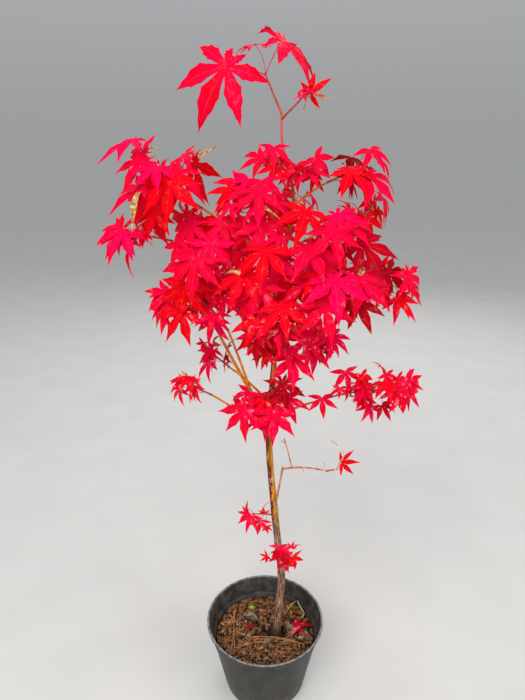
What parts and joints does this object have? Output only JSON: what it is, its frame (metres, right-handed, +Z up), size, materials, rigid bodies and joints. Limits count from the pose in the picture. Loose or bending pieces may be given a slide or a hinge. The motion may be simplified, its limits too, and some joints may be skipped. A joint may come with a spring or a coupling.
{
  "type": "potted japanese maple tree",
  "caption": "Young Japanese maple in a round black nursery pot: slim leaning stem, tapering boughs and open masses of pointed red seven-lobed autumn leaves.",
  "frame": {"origin": "middle of the pot's flat underside, which stands on the ground", "axes": "+Z up along the stem; +X to the side that the stem's foot stands on in the pot; -Y towards the side that the leaves face"},
  "size_m": [0.5419, 0.4011, 1.1914],
  "materials": {
    "pot_plastic": "matte",
    "potting_soil": "matte",
    "bark": "matte",
    "leaves": "matte"
  },
  "bodies": {
    "root": {"pot": "pot_plastic", "soil": "potting_soil", "trunk": "bark", "bough_upper_left": "bark", "bough_left": "bark", "bough_crown_left": "bark", "bough_crown_top": "bark", "bough_top_right": "bark", "bough_crown_front": "bark", "bough_upper_right": "bark", "bough_right_small": "bark", "bough_right": "bark", "bough_mid_right": "bark", "bough_front": "bark", "bough_long_left": "bark", "bough_inner_left": "bark", "bough_low_left": "bark", "bough_low_right": "bark", "bough_low_centre": "bark", "bough_inner_right": "bark", "bough_back_left": "bark", "bough_back_right": "bark", "bough_back": "bark", "bough_back_upper": "bark", "bough_back_low": "bark", "bough_low_twig": "bark", "bough_low_arm": "bark", "bough_low_shoot": "bark", "foliage_top": "leaves", "foliage_top_side": "leaves", "foliage_leader_left": "leaves", "foliage_leader_right": "leaves", "foliage_crown_front": "leaves", "foliage_upper_right": "leaves", "foliage_left": "leaves", "foliage_upper_left": "leaves", "foliage_crown_left": "leaves", "foliage_crown_top": "leaves", "foliage_top_right": "leaves", "foliage_right_small": "leaves", "foliage_right": "leaves", "foliage_mid_right": "leaves", "foliage_front": "leaves", "foliage_inner_left": "leaves", "foliage_long_left": "leaves", "foliage_low_centre": "leaves", "foliage_inner_right": "leaves", "foliage_low_left": "leaves", "foliage_low_right": "leaves", "foliage_low_front_left": "leaves", "foliage_low_front_right": "leaves", "foliage_back_left": "leaves", "foliage_back_right": "leaves", "foliage_back": "leaves", "foliage_back_upper": "leaves", "foliage_back_low": "leaves", "foliage_low_twig": "leaves", "foliage_sprout_left": "leaves", "foliage_sprout_right": "leaves"}
  },
  "joints": []
}
